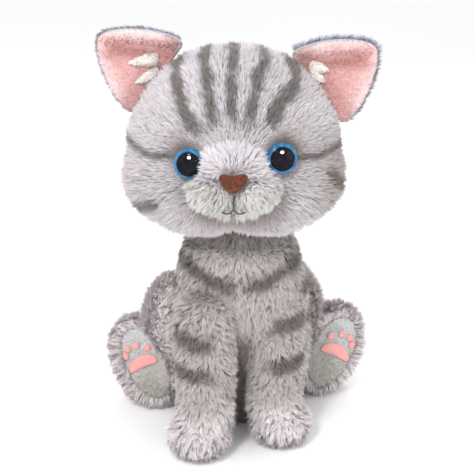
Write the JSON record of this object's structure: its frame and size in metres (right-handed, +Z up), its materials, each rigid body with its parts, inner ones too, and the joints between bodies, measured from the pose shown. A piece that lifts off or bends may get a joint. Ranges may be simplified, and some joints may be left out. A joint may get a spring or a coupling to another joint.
{
  "type": "plush cat",
  "caption": "Sitting plush kitten with grey tabby fur, a big head with domed blue eyes, pink-lined ears and splayed hind feet.",
  "frame": {"origin": "centre of the seat panel's underside, on the floor", "axes": "+Z up; the kitten faces -Y; +X is the viewer's right"},
  "size_m": [0.1302, 0.1415, 0.1993],
  "materials": {
    "fur": "soft tabby pile, grey with darker stripes, matte",
    "muzzle_fur": "soft pale pile, matte",
    "stuffing": "polyester fibre fill, matte",
    "pellet_cloth": "plain woven cloth, matte",
    "suede": "brown suede-like nap, matte",
    "thread": "embroidery thread, matte",
    "eye_plastic": "polished",
    "iris_plastic": "clear over blue paint, glossy",
    "washer_plastic": "satin",
    "ear_minky": "short pink plush pile, matte",
    "tuft": "cream felted pile, matte",
    "sole_pile": "short grey pile, matte",
    "pad_satin": "pink satin embroidery, soft sheen"
  },
  "bodies": {
    "torso": {"body_skin": "fur", "body_stuffing": "stuffing", "pellet_bag": "pellet_cloth", "seat_panel": "fur"},
    "neck": {"neck_wad": "stuffing"},
    "head": {"head_skin": "fur", "head_stuffing": "stuffing", "muzzle": "muzzle_fur", "nose": "suede", "mouth_stitch": "thread", "eye_left": "eye_plastic", "eye_ring_left": "iris_plastic", "eye_washer_left": "washer_plastic", "eye_right": "eye_plastic", "eye_ring_right": "iris_plastic", "eye_washer_right": "washer_plastic"},
    "ear_left": {"ear_left_shell": "fur", "ear_left_lining": "ear_minky", "ear_left_tuft": "tuft"},
    "ear_right": {"ear_right_shell": "fur", "ear_right_lining": "ear_minky", "ear_right_tuft": "tuft"},
    "front_leg_left": {"front_leg_left_skin": "fur", "front_leg_left_stuffing": "stuffing"},
    "front_leg_right": {"front_leg_right_skin": "fur", "front_leg_right_stuffing": "stuffing"},
    "hind_leg_left": {"hind_leg_left_skin": "fur", "hind_leg_left_stuffing": "stuffing", "sole_left": "sole_pile", "pad_left": "pad_satin", "toe_left_1": "pad_satin", "toe_left_2": "pad_satin", "toe_left_3": "pad_satin", "toe_left_4": "pad_satin"},
    "hind_leg_right": {"hind_leg_right_skin": "fur", "hind_leg_right_stuffing": "stuffing", "sole_right": "sole_pile", "pad_right": "pad_satin", "toe_right_1": "pad_satin", "toe_right_2": "pad_satin", "toe_right_3": "pad_satin", "toe_right_4": "pad_satin"},
    "tail": {"tail_skin": "fur", "tail_stuffing": "stuffing"}
  },
  "joints": [
    {"name": "head_turn", "type": "hinge", "parent": "torso", "child": "neck", "pos_m": [0, -0.024, 0.106], "axis": [0, 0, 1], "range_deg": [-25, 25], "stiffness_Nm_per_rad": 0.12},
    {"name": "head_nod", "type": "hinge", "parent": "neck", "child": "head", "pos_m": [0, -0.024, 0.106], "axis": [1, 0, 0], "range_deg": [-6, 8], "stiffness_Nm_per_rad": 0.4},
    {"name": "ear_left_fold", "type": "hinge", "parent": "head", "child": "ear_left", "pos_m": [-0.0415, -0.018, 0.178], "axis": [0.5878, 0, 0.809], "range_deg": [-8, 15], "stiffness_Nm_per_rad": 0.02},
    {"name": "ear_right_fold", "type": "hinge", "parent": "head", "child": "ear_right", "pos_m": [0.039, -0.018, 0.173], "axis": [0.5878, 0, -0.809], "range_deg": [-8, 15], "stiffness_Nm_per_rad": 0.02},
    {"name": "front_leg_left_swing", "type": "hinge", "parent": "torso", "child": "front_leg_left", "pos_m": [-0.016, -0.04, 0.064], "axis": [-1, 0, 0], "range_deg": [-3, 18], "stiffness_Nm_per_rad": 0.15},
    {"name": "front_leg_right_swing", "type": "hinge", "parent": "torso", "child": "front_leg_right", "pos_m": [0.016, -0.026, 0.064], "axis": [-1, 0, 0], "range_deg": [-3, 18], "stiffness_Nm_per_rad": 0.15},
    {"name": "hind_leg_left_spread", "type": "hinge", "parent": "torso", "child": "hind_leg_left", "pos_m": [-0.028, 0.005, 0.032], "axis": [0, 0, -1], "range_deg": [-6, 12], "stiffness_Nm_per_rad": 0.1},
    {"name": "hind_leg_right_spread", "type": "hinge", "parent": "torso", "child": "hind_leg_right", "pos_m": [0.028, 0.019, 0.032], "axis": [0, 0, 1], "range_deg": [-6, 12], "stiffness_Nm_per_rad": 0.1},
    {"name": "tail_swing", "type": "hinge", "parent": "torso", "child": "tail", "pos_m": [0, 0.018, 0.013], "axis": [0, 0, 1], "range_deg": [-15, 15], "stiffness_Nm_per_rad": 0.05}
  ]
}
